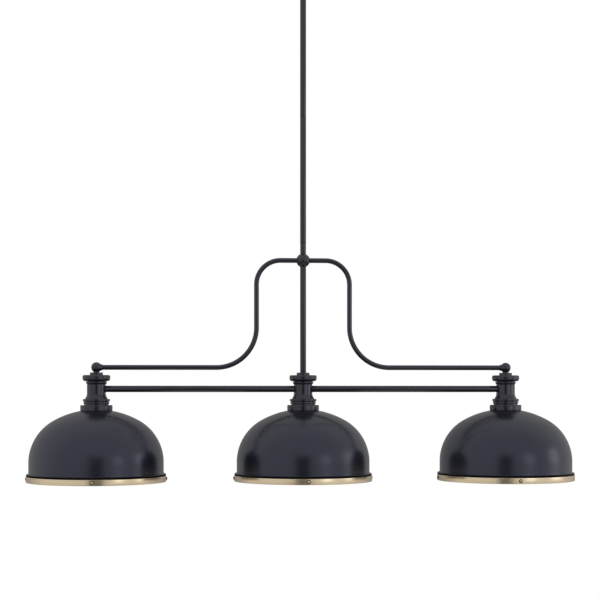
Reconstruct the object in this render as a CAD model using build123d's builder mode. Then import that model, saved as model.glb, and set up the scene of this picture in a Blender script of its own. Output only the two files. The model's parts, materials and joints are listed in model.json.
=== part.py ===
"""Linear island pendant: one stem, two bent arms, a crossbar and three dome shades.

Frame: origin on the ceiling plane over the stem, +Z up, the row of shades along X, front towards -Y.
All sizes are in millimetres.
"""

from build123d import *
import math
import os

os.makedirs("parts", exist_ok=True)

# ---------------------------------------------------------------- layout
shade_spacing = 495.0  # one shade's centre to the next
rod_length = 304.8  # each of the two stem rods
pivot_drop = 56.0  # ceiling plane to the tilt pin
knuckle_length = 22.0  # tilt pin to the end of the knuckle
neck_length = 25.0  # neck between the rods and the hub ball
hub_rise = 309.8  # crossbar centre line up to the hub ball's centre
arm_rise = 51.5  # crossbar centre line up to the arms' lower run

# ---------------------------------------------------------------- fits
thread_gap = 0.05  # radial, a threaded piece in its tapped hole
seat_gap = 0.05  # two pieces of one stack, face to face
pivot_gap = 0.08  # radial, pin and turning shank in their bores
side_gap = 0.25  # knuckle tongue between the yoke's cheeks
end_gap = 0.3  # under the turning flange, so that it spins free
stud_gap = 0.5  # radial, screw shank in a clearance hole

# ---------------------------------------------------------------- threaded stock
nipple_radius = 5.0
nipple_bore = 3.5
nipple_hold = 14.0  # length of thread engaged in a rod, knuckle or neck
stud_radius = 2.05

# ---------------------------------------------------------------- tubes
pipe_radius = 7.2  # stem rods and body stem
neck_radius = 7.0
bar_radius = 7.7  # crossbar tubes
bar_bore = 6.2
arm_radius = 5.9
arm_bore = 4.7
arm_reach = 112.5  # stem centre line to the arm's upright
arm_top_bend = 58.0  # centre line radius
arm_low_bend = 96.7
edge_break = 0.5  # chamfer on rod ends and on turned edges

# ---------------------------------------------------------------- canopy and mounting bar
canopy_radius = 63.5
canopy_depth = 26.0
canopy_wall = 1.2
canopy_floor_radius = 47.0  # flat underside
canopy_rim = 7.0  # upright rim against the ceiling
canopy_rim_round = 9.0
canopy_floor_round = 7.0
plate_length = 104.0
plate_width = 20.0
plate_thick = 2.5
plate_corner = 3.0
slot_spacing = 79.4  # centre to centre of the two box-screw slots
slot_length = 15.0
slot_radius = 2.6
stud_spacing = 52.0
locknut_flats = 14.0
locknut_thick = 3.2
ball_nut_radius = 6.0
ball_nut_foot = 2.5
ball_nut_foot_radius = 5.0
ball_nut_waist = 4.2  # radius where the ball meets its foot
earth_screw_place = 15.5
earth_screw_head = 3.4
earth_screw_head_thick = 2.4

# ---------------------------------------------------------------- swivel
cup_radius = 13.0
cup_depth = 15.0
cup_roof = 4.5
cup_cavity = 10.0
cup_lip = 3.4
cup_chamfer = 2.0
shank_radius = 6.1
flange_thick = 3.0
wire_way = 3.0  # radius of the passage through the yoke
cheek_radius = 8.0  # rounded end of the yoke round the pin
cheek_thick = 4.4
tongue_thick = 6.0
tongue_radius = 7.5
pin_radius = 2.5
pin_head = 4.0
pin_head_thick = 1.2
tongue_to_shoulder = 9.0
knuckle_web = 2.0  # left between the knuckle's tapped bore and its shoulder
slot_clear = 0.5  # yoke's slot beyond the cheeks' rounded ends

# ---------------------------------------------------------------- hub and end balls
hub_ball_radius = 16.7
end_ball_radius = 12.4
ball_foot_radius = 7.2
arm_socket_depth = 8.5  # how far an arm's end goes into a ball's bore
end_ball_boss = 17.0  # ball centre to the face of the boss that takes the arm
boss_angle = 53.0  # where the boss leaves the ball, from the arm's line
boss_wall = 0.7

# ---------------------------------------------------------------- collar stack, heights from the bar centre
cap_top = 39.2
cap_disc_radius = 15.5
cap_disc_base = 33.1
cap_flange_radius = 32.9
cap_flange_base = 18.6
cap_bead_radius = 24.8
cap_bead_top = 17.8
cap_groove_radius = 22.0
cap_top_round = 3.5
cap_low_round = 6.0
cap_bead_round = 4.0
barrel_top = 10.9
barrel_radius = 22.4
barrel_wall = 3.0
barrel_flare_top = -15.7
barrel_flare_radius = 26.8
barrel_flare_edge = 1.0
barrel_flare_sweep = 16.0  # hollow curve into the flare
ring_top = -24.2
ring_radius = 32.3
ring_edge = 5.5  # height of the ring's thin rim
ring_recess_radius = 29.5
ring_bead_radius = 30.8
ring_bead_top = -31.0
ring_bead_base = -35.5
ring_foot_radius = 29.0
ring_bore = 26.0
ring_round = 1.6
ring_bead_round = 1.2
holder_top = -38.7
holder_plate = 3.0
holder_radius = 38.3
holder_wall = 2.0
holder_round = 2.0
stack_wall = 2.2  # web at the top of each hollow piece
stack_nipple_top = 48.2
socket_thread = 8.0  # depth of thread in the socket's web

# ---------------------------------------------------------------- nipples that hold the bars to the barrels
bar_hold = 2.6  # how far a bar goes into the barrel's wall
bar_nipple_bore = 4.5
bar_nipple_length = 22.0
bar_nipple_flange_thick = 1.6

# ---------------------------------------------------------------- shade, heights from the bar centre
shade_wall = 1.2
crown_top = -48.8  # where the crown arc meets the dome's axis
crown_radius = 205.5  # the dome's crown arc, centred on its axis
crown_angle = 29.8  # where the crown arc runs into the shoulder arc, from the axis
shade_radius = 160.1
wall_drop = 26.4  # upright wall from the shoulder arc to the bead
bead_radius = 2.5
bead_set_in = 1.3  # bead's centre inside the lip
lip_step = 3.6  # lip outside the upright wall
lip_drop = 17.9  # bead's top to the lip's lower edge
shade_hole_gap = 0.6  # round the socket

# ---------------------------------------------------------------- rim band and its screws
band_gap = 0.1
band_wall = 2.4
band_hem = 1.1
band_hem_width = 4.7
rim_screw_count = 4
rim_screw_head = 4.25
rim_screw_proud = 2.7
rim_screw_radius = 1.9
rim_screw_tail = 1.5

# ---------------------------------------------------------------- lamp socket, ring nut and lamp
socket_radius = 19.8
socket_length = 50.0
socket_web = 12.5
socket_cavity = 14.6
shell_wall = 0.8
shell_top_gap = 3.5
shell_length = 28.0
contact_radius = 4.0
contact_thick = 1.6
ring_nut_radius = 27.5
ring_nut_thick = 6.0
ring_nut_bevel = 1.5
lamp_clearance = 0.2  # lamp tip under the contact
base_radius = 13.1
base_tip_radius = 4.6
base_tip = 2.0
base_cone = 4.5
base_length = 26.0
bulb_neck_radius = 12.3
bulb_radius = 30.0
bulb_length = 110.7  # tip to crown, base included
bulb_wall = 0.9
bulb_neck_length = 8.0

# ---------------------------------------------------------------- worked-out heights
plate_base = -plate_thick
canopy_base = -canopy_depth
cup_base = canopy_base - cup_depth
pivot_z = -pivot_drop
upper_rod_top = pivot_z - knuckle_length
rod_seam = upper_rod_top - rod_length
neck_top = rod_seam - rod_length
hub_flat = math.sqrt(hub_ball_radius**2 - pipe_radius**2)  # ball centre to the faces that the tubes meet
hub_z = neck_top - neck_length - hub_flat
bar_z = hub_z - hub_rise
arm_low_z = bar_z + arm_rise
holder_plate_base = holder_top - holder_plate
tapped_radius = nipple_radius + thread_gap
crown_centre = crown_top - crown_radius

stations = {"left": -shade_spacing, "centre": 0.0, "right": shade_spacing}
sides = {"left": -1, "right": 1}


def upright(x, z):
    """The vertical plane through x, facing the front, with its own origin at height z."""
    return Plane(origin=(x, 0, z), x_dir=(1, 0, 0), z_dir=(0, -1, 0))


def plumb(x):
    """The vertical axis at x."""
    return Axis((x, 0, 0), (0, 0, 1))


def outline(points, rounding=0):
    """A closed outline of (radius, height) corners; rounding is one radius, or one for each corner."""
    with BuildLine() as edge:
        FilletPolyline(*points, radius=rounding, close=True)
    make_face(edge.edges())


def save(part, name):
    """Labels a finished piece and writes it to its own file."""
    part.label = name
    export_step(part, f"parts/{name}.step")


def crown_height(radius, depth=0.0):
    """Height of the dome's crown at a radius, or of the surface that lies depth inside it."""
    return crown_centre + math.sqrt((crown_radius - depth) ** 2 - radius**2)


# ================================================================ ceiling mount
with BuildPart() as canopy:
    slope_in = canopy_wall / 2
    with BuildSketch(upright(0, 0)):
        outline(
            [
                (canopy_radius, 0),
                (canopy_radius, -canopy_rim),
                (canopy_floor_radius, canopy_base),
                (nipple_radius + stud_gap, canopy_base),
                (nipple_radius + stud_gap, canopy_base + canopy_wall),
                (canopy_floor_radius - slope_in, canopy_base + canopy_wall),
                (canopy_radius - canopy_wall, -canopy_rim + slope_in),
                (canopy_radius - canopy_wall, 0),
            ],
            [
                0,
                canopy_rim_round,
                canopy_floor_round,
                0,
                0,
                canopy_floor_round - canopy_wall,
                canopy_rim_round - canopy_wall,
                0,
            ],
        )
    revolve(axis=Axis.Z)
    with Locations(Plane.XY.offset(canopy_base)):
        with GridLocations(stud_spacing, 0, 2, 1):
            Cylinder(stud_radius + stud_gap, 4 * canopy_wall, mode=Mode.SUBTRACT)
save(canopy.part, "canopy")

with BuildPart() as mounting_bar:
    with BuildSketch():
        RectangleRounded(plate_length, plate_width, plate_corner)
        Circle(tapped_radius, mode=Mode.SUBTRACT)
        with GridLocations(stud_spacing, 0, 2, 1):
            Circle(stud_radius + thread_gap, mode=Mode.SUBTRACT)
        with GridLocations(slot_spacing, 0, 2, 1):
            SlotOverall(slot_length, 2 * slot_radius, mode=Mode.SUBTRACT)
        with Locations((earth_screw_place, 0)):
            Circle(stud_radius + thread_gap, mode=Mode.SUBTRACT)
    extrude(amount=-plate_thick)
save(mounting_bar.part, "mounting_bar")

with BuildPart() as centre_nipple:
    with BuildSketch(Plane.XY.offset(-seat_gap)):
        Circle(nipple_radius)
        Circle(nipple_bore, mode=Mode.SUBTRACT)
    extrude(amount=canopy_base - cup_roof)
save(centre_nipple.part, "centre_nipple")

with BuildPart() as nipple_locknut:
    with BuildSketch(Plane.XY.offset(plate_base)):
        RegularPolygon(locknut_flats / 2, 6, major_radius=False)
        Circle(tapped_radius, mode=Mode.SUBTRACT)
    extrude(amount=-locknut_thick)
save(nipple_locknut.part, "nipple_locknut")

stud_end = canopy_base - ball_nut_foot - ball_nut_radius
with BuildPart() as canopy_studs:
    with BuildSketch(Plane.XY.offset(-seat_gap)):
        with GridLocations(stud_spacing, 0, 2, 1):
            Circle(stud_radius)
    extrude(amount=stud_end)
save(canopy_studs.part, "canopy_studs")

with BuildPart() as canopy_ball_nuts:
    ball_z = canopy_base - ball_nut_foot - math.sqrt(ball_nut_radius**2 - ball_nut_waist**2)
    for x in (-stud_spacing / 2, stud_spacing / 2):
        with BuildSketch(upright(x, canopy_base)):
            Rectangle(ball_nut_foot_radius, ball_nut_foot, align=(Align.MIN, Align.MAX))
        revolve(axis=plumb(x))
        with Locations((x, 0, ball_z)):
            Sphere(ball_nut_radius)
        with Locations((x, 0, (canopy_base + stud_end) / 2)):
            bore_depth = canopy_base - stud_end + 2 * seat_gap
            Cylinder(stud_radius + thread_gap, bore_depth, mode=Mode.SUBTRACT)
save(canopy_ball_nuts.part, "canopy_ball_nuts")

with BuildPart() as earth_screw:
    with BuildSketch(Plane.XY.offset(plate_base)):
        with Locations((earth_screw_place, 0)):
            Circle(earth_screw_head)
    extrude(amount=-earth_screw_head_thick)
    chamfer(earth_screw.faces().sort_by(Axis.Z)[0].edges(), edge_break)
    with BuildSketch(Plane.XY.offset(plate_base)):
        with Locations((earth_screw_place, 0)):
            Circle(stud_radius)
    extrude(amount=plate_thick - seat_gap)
save(earth_screw.part, "earth_screw")

# ================================================================ hang-straight swivel
cavity_top = canopy_base - cup_roof
cavity_base = cup_base + cup_lip
with BuildPart() as swivel_cup:
    with BuildSketch(upright(0, 0)):
        outline(
            [
                (tapped_radius, canopy_base),
                (cup_radius, canopy_base),
                (cup_radius, cup_base + cup_chamfer),
                (cup_radius - cup_chamfer, cup_base),
                (shank_radius + pivot_gap, cup_base),
                (shank_radius + pivot_gap, cavity_base),
                (cup_cavity, cavity_base),
                (cup_cavity, cavity_top),
                (tapped_radius, cavity_top),
            ]
        )
    revolve(axis=Axis.Z)
save(swivel_cup.part, "swivel_cup")

flange_base = cavity_base + end_gap
yoke_top = cup_base - 2 * end_gap
crown_base = pivot_z + cheek_radius + slot_clear
yoke_half = tongue_thick / 2 + side_gap + cheek_thick
with BuildPart() as swivel_yoke:
    with BuildSketch(Plane.XY.offset(flange_base)):
        Circle(cup_cavity - 2 * end_gap)
    extrude(amount=flange_thick)
    with BuildSketch(Plane.XY.offset(flange_base)):
        Circle(shank_radius)
    extrude(amount=yoke_top - flange_base)
    with BuildSketch(Plane.YZ):
        with Locations((0, pivot_z)):
            Circle(cheek_radius)
            Rectangle(2 * cheek_radius, yoke_top - pivot_z, align=(Align.CENTER, Align.MIN))
    extrude(amount=yoke_half, both=True)
    with BuildSketch(Plane.XZ):
        with Locations((0, crown_base)):
            slot_half = tongue_thick / 2 + side_gap
            Rectangle(2 * slot_half, 4 * cheek_radius, align=(Align.CENTER, Align.MAX))
    extrude(amount=2 * cheek_radius, both=True, mode=Mode.SUBTRACT)
    with BuildSketch(Plane.YZ):
        with Locations((0, pivot_z)):
            Circle(pin_radius + thread_gap)
    extrude(amount=2 * yoke_half, both=True, mode=Mode.SUBTRACT)
    with BuildSketch(Plane.XY.offset(crown_base)):
        Circle(wire_way)
    extrude(amount=flange_base + 2 * flange_thick - crown_base, mode=Mode.SUBTRACT)
save(swivel_yoke.part, "swivel_yoke")

with BuildPart() as swivel_pin:
    pin_half = yoke_half + seat_gap
    with BuildSketch(Plane.YZ):
        with Locations((0, pivot_z)):
            Circle(pin_radius)
    extrude(amount=pin_half, both=True)
    for side in (-1, 1):
        with BuildSketch(Plane.YZ.offset(side * pin_half)):
            with Locations((0, pivot_z)):
                Circle(pin_head)
        extrude(amount=side * pin_head_thick)
    chamfer(swivel_pin.edges().group_by(Axis.X)[0], edge_break)
    chamfer(swivel_pin.edges().group_by(Axis.X)[-1], edge_break)
save(swivel_pin.part, "swivel_pin")

knuckle_shoulder = pivot_z - tongue_to_shoulder
knuckle_bore = knuckle_length - tongue_to_shoulder - knuckle_web
with BuildPart() as swivel_knuckle:
    with BuildSketch(Plane.YZ):
        with Locations((0, pivot_z)):
            Circle(tongue_radius)
            Rectangle(2 * tongue_radius, tongue_to_shoulder + slot_clear, align=(Align.CENTER, Align.MAX))
    extrude(amount=tongue_thick / 2, both=True)
    with BuildSketch(Plane.XY.offset(knuckle_shoulder)):
        Circle(pipe_radius)
    extrude(amount=upper_rod_top - knuckle_shoulder)
    with BuildSketch(Plane.YZ):
        with Locations((0, pivot_z)):
            Circle(pin_radius + pivot_gap)
    extrude(amount=tongue_thick, both=True, mode=Mode.SUBTRACT)
    with BuildSketch(Plane.XY.offset(upper_rod_top)):
        Circle(tapped_radius)
    extrude(amount=knuckle_bore, mode=Mode.SUBTRACT)
save(swivel_knuckle.part, "swivel_knuckle")


# ================================================================ stem
def pipe(top, base, radius):
    """An upright tube with a tapped bore and chamfered ends."""
    with BuildPart() as tube:
        with BuildSketch(Plane.XY.offset(top)):
            Circle(radius)
        extrude(amount=base - top)
        chamfer(tube.edges(), edge_break)
        with BuildSketch(Plane.XY.offset(top)):
            Circle(tapped_radius)
        extrude(amount=base - top, mode=Mode.SUBTRACT)
    return tube.part


save(pipe(upper_rod_top, rod_seam, pipe_radius), "stem_rod_upper")
save(pipe(rod_seam, neck_top, pipe_radius), "stem_rod_lower")
save(pipe(neck_top, hub_z + hub_flat, neck_radius), "stem_neck")
save(pipe(hub_z - hub_flat, bar_z + cap_top, pipe_radius), "body_stem")

nipple_spans = [
    (upper_rod_top + knuckle_bore - seat_gap, upper_rod_top - nipple_hold),
    (rod_seam + nipple_hold, rod_seam - nipple_hold),
    (neck_top + nipple_hold, hub_z - hub_flat - nipple_hold),
]
with BuildPart() as stem_nipples:
    for top, base in nipple_spans:
        with BuildSketch(Plane.XY.offset(top)):
            Circle(nipple_radius)
            Circle(nipple_bore, mode=Mode.SUBTRACT)
        extrude(amount=base - top)
save(stem_nipples.part, "stem_nipples")

# ================================================================ hub ball and arms
arm_start = hub_ball_radius - arm_socket_depth
with BuildPart() as hub_ball:
    with BuildSketch(upright(0, hub_z)):
        with BuildLine():
            Line((tapped_radius, hub_flat), (pipe_radius, hub_flat))
            ThreePointArc((pipe_radius, hub_flat), (hub_ball_radius, 0), (pipe_radius, -hub_flat))
            Line((pipe_radius, -hub_flat), (tapped_radius, -hub_flat))
            Line((tapped_radius, -hub_flat), (tapped_radius, hub_flat))
        make_face()
    revolve(axis=Axis.Z)
    for side in (-1, 1):
        with BuildSketch(Plane.YZ.offset(side * (arm_start - seat_gap))):
            with Locations((0, hub_z)):
                Circle(arm_radius + thread_gap)
        extrude(amount=side * hub_ball_radius, mode=Mode.SUBTRACT)
save(hub_ball.part, "hub_ball")

arm_end = shade_spacing - end_ball_boss + arm_socket_depth
for name, side in sides.items():
    with BuildPart() as arm:
        with BuildLine() as arm_path:
            FilletPolyline(
                (side * arm_start, 0, hub_z),
                (side * arm_reach, 0, hub_z),
                (side * arm_reach, 0, arm_low_z),
                (side * arm_end, 0, arm_low_z),
                radius=[arm_top_bend, arm_low_bend],
            )
        with BuildSketch(Plane.YZ.offset(side * arm_start)):
            with Locations((0, hub_z)):
                Circle(arm_radius)
                Circle(arm_bore, mode=Mode.SUBTRACT)
        sweep(path=arm_path.line)
    save(arm.part, f"arm_{name}")

# each end ball stands on its collar's cap, and its boss takes the arm's end
ball_foot = bar_z + cap_top + seat_gap
boss_turn = math.radians(boss_angle)
for name, side in sides.items():
    centre_x = side * shade_spacing
    with BuildPart() as end_ball:
        with Locations((centre_x, 0, arm_low_z)):
            Sphere(end_ball_radius)
        with BuildSketch(Plane.XY.offset(ball_foot)):
            with Locations((centre_x, 0)):
                Circle(ball_foot_radius)
        extrude(amount=arm_low_z - ball_foot)
        with BuildSketch(upright(centre_x, arm_low_z)):
            outline(
                [
                    (-side * end_ball_radius * math.cos(boss_turn), 0),
                    (-side * end_ball_radius * math.cos(boss_turn), end_ball_radius * math.sin(boss_turn)),
                    (-side * end_ball_boss, arm_radius + boss_wall),
                    (-side * end_ball_boss, 0),
                ]
            )
        revolve(axis=Axis((centre_x, 0, arm_low_z), (1, 0, 0)))
        with BuildSketch(Plane.YZ.offset(centre_x - side * (end_ball_boss - arm_socket_depth - seat_gap))):
            with Locations((0, arm_low_z)):
                Circle(arm_radius + thread_gap)
        extrude(amount=-side * end_ball_boss, mode=Mode.SUBTRACT)
        with BuildSketch(Plane.XY.offset(bar_z)):
            with Locations((centre_x, 0)):
                Circle(tapped_radius)
        extrude(amount=stack_nipple_top + seat_gap, mode=Mode.SUBTRACT)
    save(end_ball.part, f"end_ball_{name}")

# ================================================================ crossbar
barrel_bore = barrel_radius - barrel_wall
bar_inner = barrel_radius - bar_hold
for name, side in sides.items():
    with BuildPart() as crossbar:
        with BuildSketch(Plane.YZ.offset(side * bar_inner)):
            with Locations((0, bar_z)):
                Circle(bar_radius)
                Circle(bar_bore, mode=Mode.SUBTRACT)
        extrude(amount=side * (shade_spacing - 2 * bar_inner))
    save(crossbar.part, f"crossbar_{name}")

bar_nipple_flange = barrel_top - stack_wall - 2 * seat_gap
flange_seat = math.sqrt(barrel_bore**2 - bar_nipple_flange**2) - seat_gap
with BuildPart() as crossbar_nipples:
    for barrel_x, side in ((-shade_spacing, 1), (0, -1), (0, 1), (shade_spacing, -1)):
        flange_x = barrel_x + side * flange_seat
        with BuildSketch(Plane.YZ.offset(flange_x)):
            with Locations((0, bar_z)):
                Circle(bar_nipple_flange)
        extrude(amount=-side * bar_nipple_flange_thick)
        with BuildSketch(Plane.YZ.offset(flange_x)):
            with Locations((0, bar_z)):
                Circle(bar_bore - thread_gap)
        extrude(amount=side * bar_nipple_length)
        with BuildSketch(Plane.YZ.offset(flange_x + side * bar_nipple_length)):
            with Locations((0, bar_z)):
                Circle(bar_nipple_bore)
        extrude(amount=-side * (bar_nipple_length + bar_nipple_flange_thick), mode=Mode.SUBTRACT)
save(crossbar_nipples.part, "crossbar_nipples")

# ================================================================ collar stacks
rim_seat = crown_height(holder_radius - holder_wall) + seat_gap

for name, x in stations.items():
    with BuildPart() as collar_cap:
        with BuildSketch(upright(x, bar_z)):
            outline(
                [
                    (tapped_radius, cap_top),
                    (cap_disc_radius - edge_break, cap_top),
                    (cap_disc_radius, cap_top - edge_break),
                    (cap_disc_radius, cap_disc_base),
                    (cap_flange_radius, cap_disc_base),
                    (cap_flange_radius, cap_flange_base),
                    (cap_groove_radius, cap_flange_base),
                    (cap_groove_radius, cap_bead_top),
                    (cap_bead_radius, cap_bead_top),
                    (cap_bead_radius, barrel_top),
                    (barrel_bore, barrel_top),
                    (barrel_bore, cap_disc_base - stack_wall),
                    (tapped_radius, cap_disc_base - stack_wall),
                ],
                [0, 0, 0, 0, cap_top_round, cap_low_round, 0, 0, 0, cap_bead_round, 0, 0, 0],
            )
        revolve(axis=plumb(x))
    save(collar_cap.part, f"collar_cap_{name}")

for name, x in stations.items():
    with BuildPart() as barrel:
        with BuildSketch(upright(x, bar_z)):
            outline(
                [
                    (tapped_radius, barrel_top),
                    (barrel_radius, barrel_top),
                    (barrel_radius, barrel_flare_top),
                    (barrel_flare_radius, ring_top + barrel_flare_edge),
                    (barrel_flare_radius, ring_top),
                    (barrel_bore, ring_top),
                    (barrel_bore, barrel_top - stack_wall),
                    (tapped_radius, barrel_top - stack_wall),
                ],
                [0, 0, barrel_flare_sweep, 0, 0, 0, 0, 0],
            )
        revolve(axis=plumb(x))
        for side in sides.values():
            if abs(x + side * shade_spacing) <= shade_spacing:
                with BuildSketch(Plane.YZ.offset(x)):
                    with Locations((0, bar_z)):
                        Circle(bar_radius + thread_gap)
                extrude(amount=side * 2 * barrel_radius, mode=Mode.SUBTRACT)
    save(barrel.part, f"barrel_{name}")

for name, x in stations.items():
    with BuildPart() as collar_ring:
        with BuildSketch(upright(x, bar_z)):
            outline(
                [
                    (tapped_radius, ring_top),
                    (ring_radius, ring_top),
                    (ring_radius, ring_top - ring_edge / 2),
                    (ring_recess_radius, ring_top - ring_edge),
                    (ring_recess_radius, ring_bead_top),
                    (ring_bead_radius, ring_bead_top),
                    (ring_bead_radius, ring_bead_base),
                    (ring_foot_radius, ring_bead_base),
                    (ring_foot_radius, holder_top),
                    (ring_bore, holder_top),
                    (ring_bore, ring_top - stack_wall),
                    (tapped_radius, ring_top - stack_wall),
                ],
                [0, ring_round, 0, 0, 0, ring_bead_round, 0, 0, 0, 0, 0, 0],
            )
        revolve(axis=plumb(x))
    save(collar_ring.part, f"collar_ring_{name}")

for name, x in stations.items():
    with BuildPart() as shade_holder:
        with BuildSketch(upright(x, bar_z)):
            outline(
                [
                    (tapped_radius, holder_top),
                    (holder_radius, holder_top),
                    (holder_radius, rim_seat),
                    (holder_radius - holder_wall, rim_seat),
                    (holder_radius - holder_wall, holder_plate_base),
                    (tapped_radius, holder_plate_base),
                ],
                [0, holder_round, 0, 0, 0, 0],
            )
        revolve(axis=plumb(x))
    save(shade_holder.part, f"shade_holder_{name}")

with BuildPart() as stack_nipples:
    stack_nipple_base = holder_plate_base - socket_thread
    for x in stations.values():
        with BuildSketch(Plane.XY.offset(bar_z + stack_nipple_base)):
            with Locations((x, 0)):
                Circle(nipple_radius)
                Circle(nipple_bore, mode=Mode.SUBTRACT)
        extrude(amount=stack_nipple_top - stack_nipple_base)
save(stack_nipples.part, "stack_nipples")

# ================================================================ shades
crown_turn = math.radians(crown_angle)
shoulder_radius = (shade_radius - crown_radius * math.sin(crown_turn)) / (1 - math.sin(crown_turn))
shoulder_x = shade_radius - shoulder_radius
shoulder_z = crown_centre + (crown_radius - shoulder_radius) * math.cos(crown_turn)
shade_hole = socket_radius + shade_hole_gap
bead_top = shoulder_z - wall_drop
bead_middle = bead_top - bead_radius
lip_radius = shade_radius + lip_step
lip_base = bead_top - lip_drop
bead_x = lip_radius - bead_set_in
bead_root = bead_middle - math.sqrt(bead_radius**2 - bead_set_in**2)
band_radius = lip_radius + band_gap + band_wall
band_top = bead_root - 2 * band_gap
band_base = lip_base - 2 * band_gap - band_hem
rim_screw_height = (band_top + band_base) / 2
screw_angles = [2 * math.pi * k / rim_screw_count for k in range(rim_screw_count)]


def crown_point(angle, depth):
    """A point of the crown arc, or of the arc that lies depth inside it; angle is from the axis."""
    radius = crown_radius - depth
    return (radius * math.sin(angle), crown_centre + radius * math.cos(angle))


def shoulder_point(angle, depth):
    """The same on the shoulder arc."""
    radius = shoulder_radius - depth
    return (shoulder_x + radius * math.sin(angle), shoulder_z + radius * math.cos(angle))


def dome_arcs(depth):
    """The crown arc from the hole and the shoulder arc that takes it over, down to the upright wall."""
    hole_turn = math.asin(shade_hole / (crown_radius - depth))
    ThreePointArc(
        crown_point(hole_turn, depth),
        crown_point((hole_turn + crown_turn) / 2, depth),
        crown_point(crown_turn, depth),
    )
    ThreePointArc(
        crown_point(crown_turn, depth),
        shoulder_point((crown_turn + math.pi / 2) / 2, depth),
        (shade_radius - depth, shoulder_z),
    )


def spoke(x, angle):
    """The upright plane through the shade at x that turns with angle, at the height of the rim screws."""
    outward = (math.cos(angle), math.sin(angle), 0)
    across = (math.sin(angle), -math.cos(angle), 0)
    return Plane(origin=(x, 0, bar_z + rim_screw_height), x_dir=outward, z_dir=across)


def spoke_axis(x, angle):
    """The line that a rim screw lies on."""
    return Axis((x, 0, bar_z + rim_screw_height), (math.cos(angle), math.sin(angle), 0))


def drill_rim(x):
    """Clearance holes for the rim screws, through whatever wall is there."""
    for angle in screw_angles:
        with BuildSketch(spoke(x, angle)) as hole:
            with Locations((lip_radius, 0)):
                Rectangle(6 * band_wall, rim_screw_radius + thread_gap, align=(Align.CENTER, Align.MIN))
        revolve(hole.sketch, axis=spoke_axis(x, angle), mode=Mode.SUBTRACT)


for name, x in stations.items():
    with BuildPart() as shade:
        with BuildSketch(upright(x, bar_z)):
            with BuildLine():
                dome_arcs(0)
                Polyline((shade_radius, shoulder_z), (shade_radius, bead_top), (bead_x, bead_top))
                ThreePointArc(
                    (bead_x, bead_top),
                    (bead_x + bead_radius, bead_middle),
                    (lip_radius, bead_root),
                )
                Polyline(
                    (lip_radius, bead_root),
                    (lip_radius, lip_base),
                    (lip_radius - shade_wall, lip_base),
                    (lip_radius - shade_wall, bead_middle),
                    (shade_radius - shade_wall, bead_top),
                    (shade_radius - shade_wall, shoulder_z),
                )
                dome_arcs(shade_wall)
                Line(
                    crown_point(math.asin(shade_hole / (crown_radius - shade_wall)), shade_wall),
                    crown_point(math.asin(shade_hole / crown_radius), 0),
                )
            make_face()
        revolve(axis=plumb(x))
        drill_rim(x)
    save(shade.part, f"shade_{name}")

    with BuildPart() as rim_band:
        with BuildSketch(upright(x, bar_z)):
            outline(
                [
                    (band_radius - band_wall, band_top),
                    (band_radius - edge_break, band_top),
                    (band_radius, band_top - edge_break),
                    (band_radius, band_base + edge_break),
                    (band_radius - edge_break, band_base),
                    (band_radius - band_hem_width, band_base),
                    (band_radius - band_hem_width, band_base + band_hem),
                    (band_radius - band_wall, band_base + band_hem),
                ]
            )
        revolve(axis=plumb(x))
        drill_rim(x)
    save(rim_band.part, f"rim_band_{name}")

screw_root = lip_radius - shade_wall - rim_screw_tail
dome_radius = (rim_screw_head**2 + rim_screw_proud**2) / (2 * rim_screw_proud)
head_seat = band_radius + seat_gap
half_turn = math.asin(rim_screw_head / dome_radius) / 2
dome_centre = head_seat + rim_screw_proud - dome_radius
for name, x in stations.items():
    with BuildPart() as rim_screws:
        for angle in screw_angles:
            with BuildSketch(spoke(x, angle)):
                with BuildLine():
                    Polyline(
                        (head_seat + rim_screw_proud, 0),
                        (screw_root, 0),
                        (screw_root, rim_screw_radius),
                        (head_seat, rim_screw_radius),
                        (head_seat, rim_screw_head),
                    )
                    ThreePointArc(
                        (head_seat, rim_screw_head),
                        (dome_centre + dome_radius * math.cos(half_turn), dome_radius * math.sin(half_turn)),
                        (head_seat + rim_screw_proud, 0),
                    )
                make_face()
            revolve(axis=spoke_axis(x, angle))
    save(rim_screws.part, f"rim_screws_{name}")

# ================================================================ lamp sockets, ring nuts and lamps
socket_web_base = holder_plate_base - socket_web
shell_top = socket_web_base - shell_top_gap
tip_z = socket_web_base - contact_thick - lamp_clearance
bulb_top = tip_z - base_length + bulb_neck_length
bulb_centre = tip_z - bulb_length + bulb_radius
neck_end = bulb_top - 1.5 * bulb_neck_length
ring_nut_top = crown_height(ring_nut_radius, shade_wall) - seat_gap


def taper_end(neck, radius):
    """Where the straight line from the neck's end touches the bulb's round end."""
    rise = neck_end - bulb_centre
    turn = math.atan2(neck, rise) + math.acos(radius / math.hypot(neck, rise))
    return (radius * math.sin(turn), bulb_centre + radius * math.cos(turn)), turn


def bulb_side(depth):
    """Neck, taper and round end, or the inner surface that lies depth inside them."""
    neck = bulb_neck_radius - depth
    radius = bulb_radius - depth
    touch, turn = taper_end(neck, radius)
    middle = (turn + math.pi) / 2
    Polyline((neck, bulb_top), (neck, neck_end), touch)
    ThreePointArc(
        touch,
        (radius * math.sin(middle), bulb_centre + radius * math.cos(middle)),
        (0, bulb_centre - radius),
    )


for name, x in stations.items():
    with BuildPart() as lamp_socket:
        with BuildSketch(upright(x, bar_z)):
            outline(
                [
                    (tapped_radius, holder_plate_base),
                    (socket_radius, holder_plate_base),
                    (socket_radius, holder_plate_base - socket_length + edge_break),
                    (socket_radius - edge_break, holder_plate_base - socket_length),
                    (socket_cavity, holder_plate_base - socket_length),
                    (socket_cavity, socket_web_base),
                    (0, socket_web_base),
                    (0, holder_plate_base - socket_thread - seat_gap),
                    (tapped_radius, holder_plate_base - socket_thread - seat_gap),
                ]
            )
        revolve(axis=plumb(x))
    save(lamp_socket.part, f"lamp_socket_{name}")

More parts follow.
